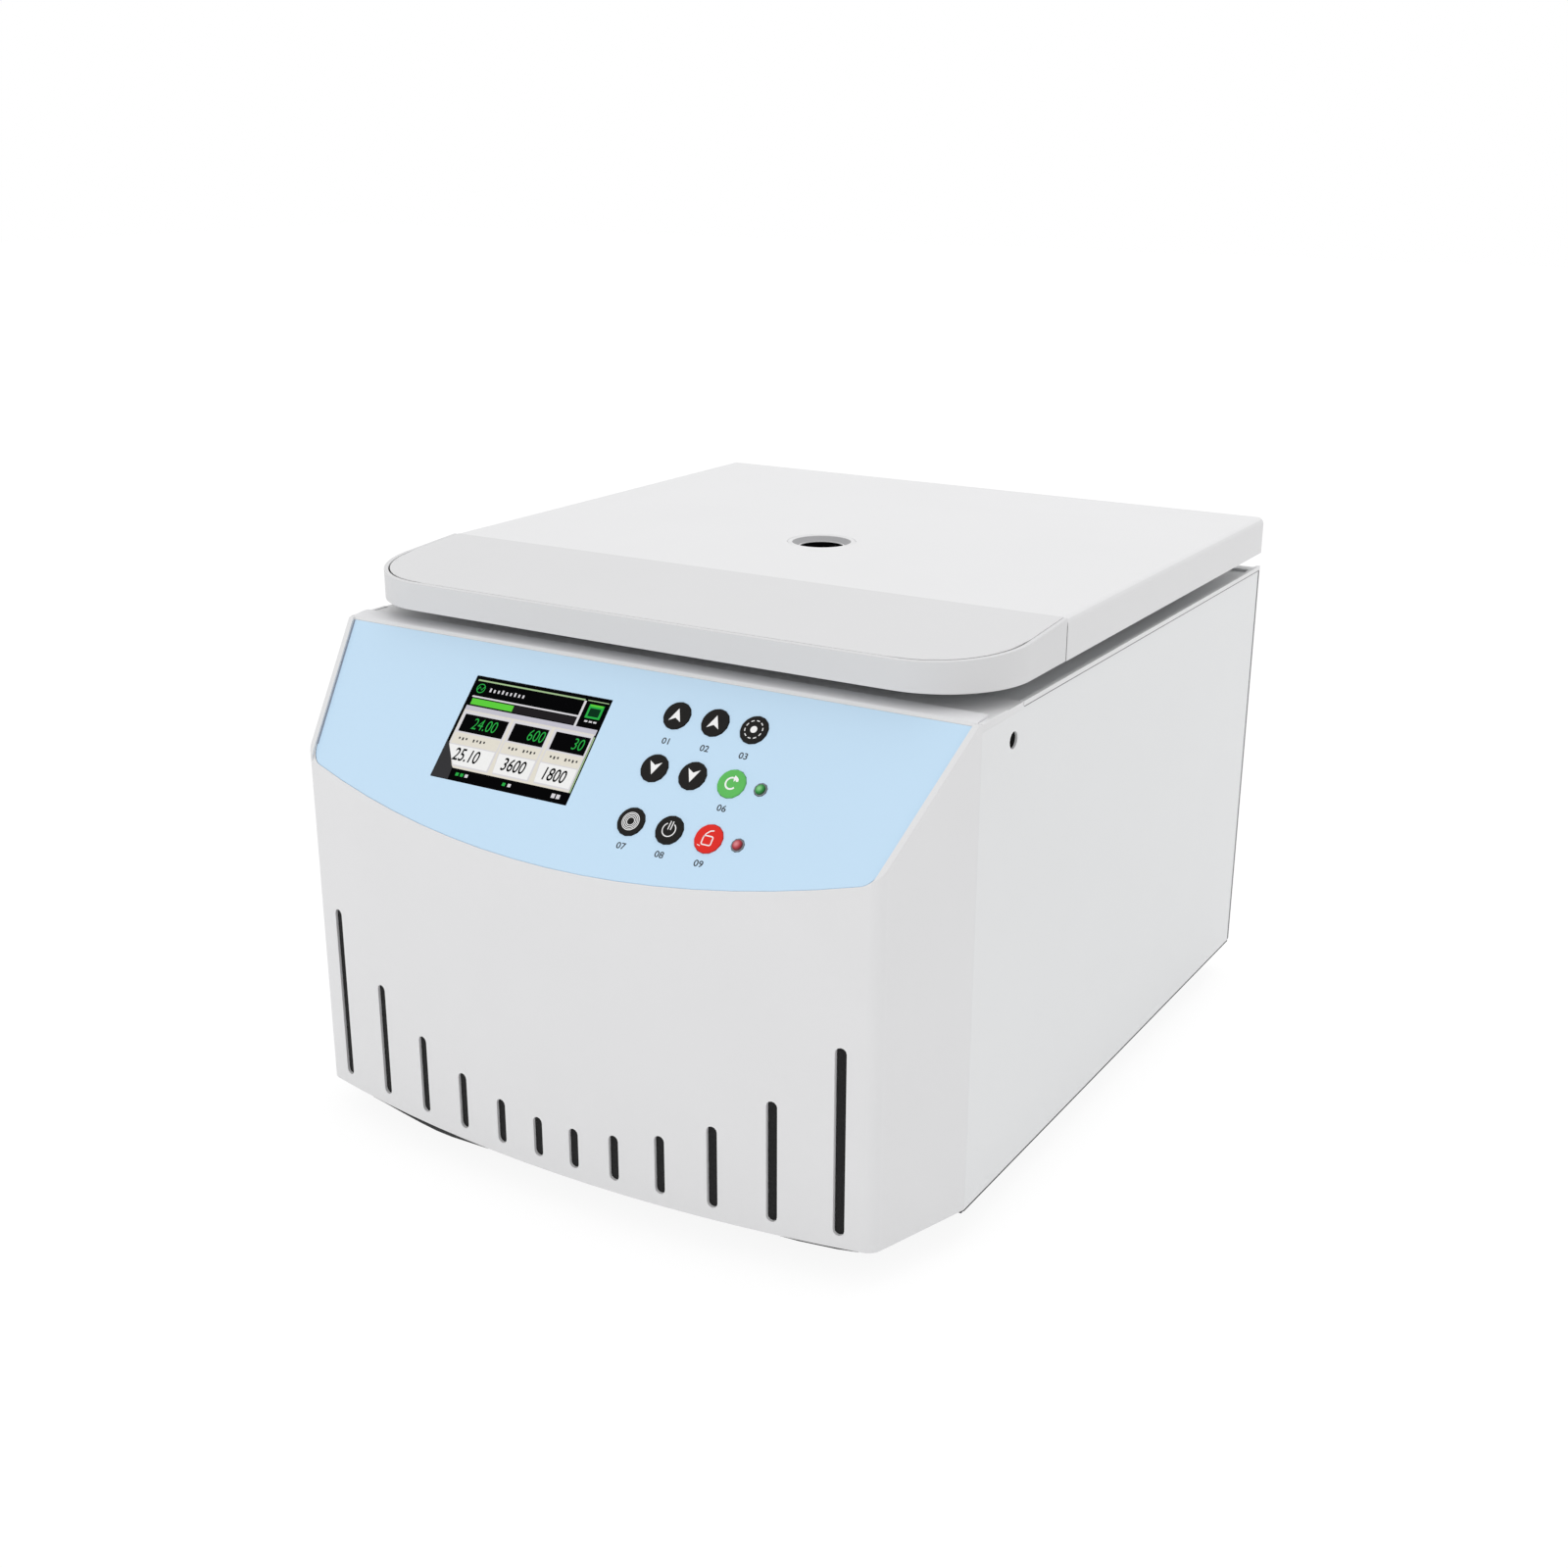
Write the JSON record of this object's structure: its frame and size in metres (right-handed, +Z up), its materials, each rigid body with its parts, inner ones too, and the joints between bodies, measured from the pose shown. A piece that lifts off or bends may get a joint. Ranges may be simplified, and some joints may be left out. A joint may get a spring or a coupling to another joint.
{
  "type": "benchtop centrifuge",
  "caption": "Benchtop centrifuge: box housing with a sloped control panel and slotted front, hinged lid with a view port, and a swing-out rotor with cup buckets in a round chamber.",
  "frame": {"origin": "on the bench under the middle of the machine's outer box", "axes": "+X to the right as seen from the front, +Y to the rear, +Z up"},
  "size_m": [0.402, 0.4884, 0.3125],
  "materials": {
    "paint": "satin off-white powder coat",
    "moulding": "satin off-white moulding",
    "dark_paint": "matt dark grey paint",
    "rubber": "matt black rubber",
    "steel": "brushed stainless steel",
    "aluminium": "satin machined aluminium",
    "zinc": "zinc-plated steel",
    "overlay_blue": "pale blue satin film",
    "screen_black": "black display case",
    "screen_lens": "glossy clear lens over a dark display",
    "port_lens": "tinted clear window",
    "board_green": "green circuit board",
    "key_black": "black satin key",
    "key_green": "green satin key",
    "key_red": "red satin key",
    "lamp_green": "green diffuse lamp lens",
    "lamp_red": "red diffuse lamp lens",
    "black_plastic": "black matt moulding"
  },
  "bodies": {
    "base": {"base_pan": "dark_paint", "foot_front_left": "rubber", "foot_front_right": "rubber", "foot_rear_left": "rubber", "foot_rear_right": "rubber", "front_fascia": "moulding", "side_panel_left": "paint", "side_panel_right": "paint", "rear_panel": "paint", "top_deck": "paint", "chamber_bowl": "steel", "guard_ring": "zinc", "chamber_gasket": "rubber", "shaft_boot": "rubber", "motor_plate": "zinc", "motor_housing": "aluminium", "motor_mount_1": "rubber", "motor_mount_2": "rubber", "motor_mount_3": "rubber", "control_overlay": "overlay_blue", "display_lens": "screen_lens", "display_module": "screen_black", "control_board": "board_green", "lamp_run": "lamp_green", "lamp_stop": "lamp_red", "hinge_base_left": "zinc", "hinge_base_right": "zinc", "hinge_pin_left": "steel", "hinge_pin_right": "steel", "lock_solenoid": "zinc", "release_guide": "black_plastic", "drive_module": "aluminium", "power_inlet": "black_plastic", "switch_bezel": "black_plastic"},
    "lid": {"lid_cover": "paint", "lid_bumper": "moulding", "lid_liner": "steel", "port_bezel": "moulding", "port_window": "port_lens", "lid_striker": "zinc", "hinge_leaf_left": "zinc", "hinge_leaf_right": "zinc"},
    "rotor": {"drive_shaft": "steel", "rotor_yoke": "aluminium", "rotor_nut": "steel"},
    "bucket_1": {"bucket_1": "steel"},
    "bucket_2": {"bucket_2": "steel"},
    "bucket_3": {"bucket_3": "steel"},
    "bucket_4": {"bucket_4": "steel"},
    "key_1": {"key_1": "key_black"},
    "key_2": {"key_2": "key_black"},
    "key_3": {"key_3": "key_black"},
    "key_4": {"key_4": "key_black"},
    "key_5": {"key_5": "key_black"},
    "key_6": {"key_6": "key_green"},
    "key_7": {"key_7": "key_black"},
    "key_8": {"key_8": "key_black"},
    "key_9": {"key_9": "key_red"},
    "lock_bolt": {"lock_bolt": "steel"},
    "power_rocker": {"power_rocker": "black_plastic"}
  },
  "joints": [
    {"name": "lid_hinge", "type": "hinge", "parent": "base", "child": "lid", "pos_m": [0, 0.23725, 0.2845], "axis": [-1, 0, 0], "range_deg": [0, 78]},
    {"name": "rotor_spin", "type": "hinge", "parent": "base", "child": "rotor", "pos_m": [0, 0.02865, 0.214], "axis": [0, 0, 1], "continuous": true},
    {"name": "bucket_1_swing", "type": "hinge", "parent": "rotor", "child": "bucket_1", "pos_m": [0.058, 0.02865, 0.214], "axis": [0, -1, 0], "range_deg": [0, 90]},
    {"name": "bucket_2_swing", "type": "hinge", "parent": "rotor", "child": "bucket_2", "pos_m": [0, 0.08665, 0.214], "axis": [1, 0, 0], "range_deg": [0, 90]},
    {"name": "bucket_3_swing", "type": "hinge", "parent": "rotor", "child": "bucket_3", "pos_m": [-0.058, 0.02865, 0.214], "axis": [0, 1, 0], "range_deg": [0, 90]},
    {"name": "bucket_4_swing", "type": "hinge", "parent": "rotor", "child": "bucket_4", "pos_m": [0, -0.02935, 0.214], "axis": [-1, 0, 0], "range_deg": [0, 90]},
    {"name": "key_1_press", "type": "slide", "parent": "base", "child": "key_1", "axis": [0, 0.7284, -0.6852], "range_m": [0, 0.0005], "stiffness_N_per_m": 2000},
    {"name": "key_2_press", "type": "slide", "parent": "base", "child": "key_2", "axis": [0, 0.7284, -0.6852], "range_m": [0, 0.0005], "stiffness_N_per_m": 2000},
    {"name": "key_3_press", "type": "slide", "parent": "base", "child": "key_3", "axis": [0, 0.7284, -0.6852], "range_m": [0, 0.0005], "stiffness_N_per_m": 2000},
    {"name": "key_4_press", "type": "slide", "parent": "base", "child": "key_4", "axis": [0, 0.7284, -0.6852], "range_m": [0, 0.0005], "stiffness_N_per_m": 2000},
    {"name": "key_5_press", "type": "slide", "parent": "base", "child": "key_5", "axis": [0, 0.7284, -0.6852], "range_m": [0, 0.0005], "stiffness_N_per_m": 2000},
    {"name": "key_6_press", "type": "slide", "parent": "base", "child": "key_6", "axis": [0, 0.7284, -0.6852], "range_m": [0, 0.0005], "stiffness_N_per_m": 2000},
    {"name": "key_7_press", "type": "slide", "parent": "base", "child": "key_7", "axis": [0, 0.7284, -0.6852], "range_m": [0, 0.0005], "stiffness_N_per_m": 2000},
    {"name": "key_8_press", "type": "slide", "parent": "base", "child": "key_8", "axis": [0, 0.7284, -0.6852], "range_m": [0, 0.0005], "stiffness_N_per_m": 2000},
    {"name": "key_9_press", "type": "slide", "parent": "base", "child": "key_9", "axis": [0, 0.7284, -0.6852], "range_m": [0, 0.0005], "stiffness_N_per_m": 2000},
    {"name": "lock_bolt_slide", "type": "slide", "parent": "base", "child": "lock_bolt", "axis": [-1, 0, 0], "range_m": [0, 0.012]},
    {"name": "rocker_tilt", "type": "hinge", "parent": "base", "child": "power_rocker", "pos_m": [-0.14, 0.23575, 0.116], "axis": [-1, 0, 0], "range_deg": [0, 16]}
  ]
}
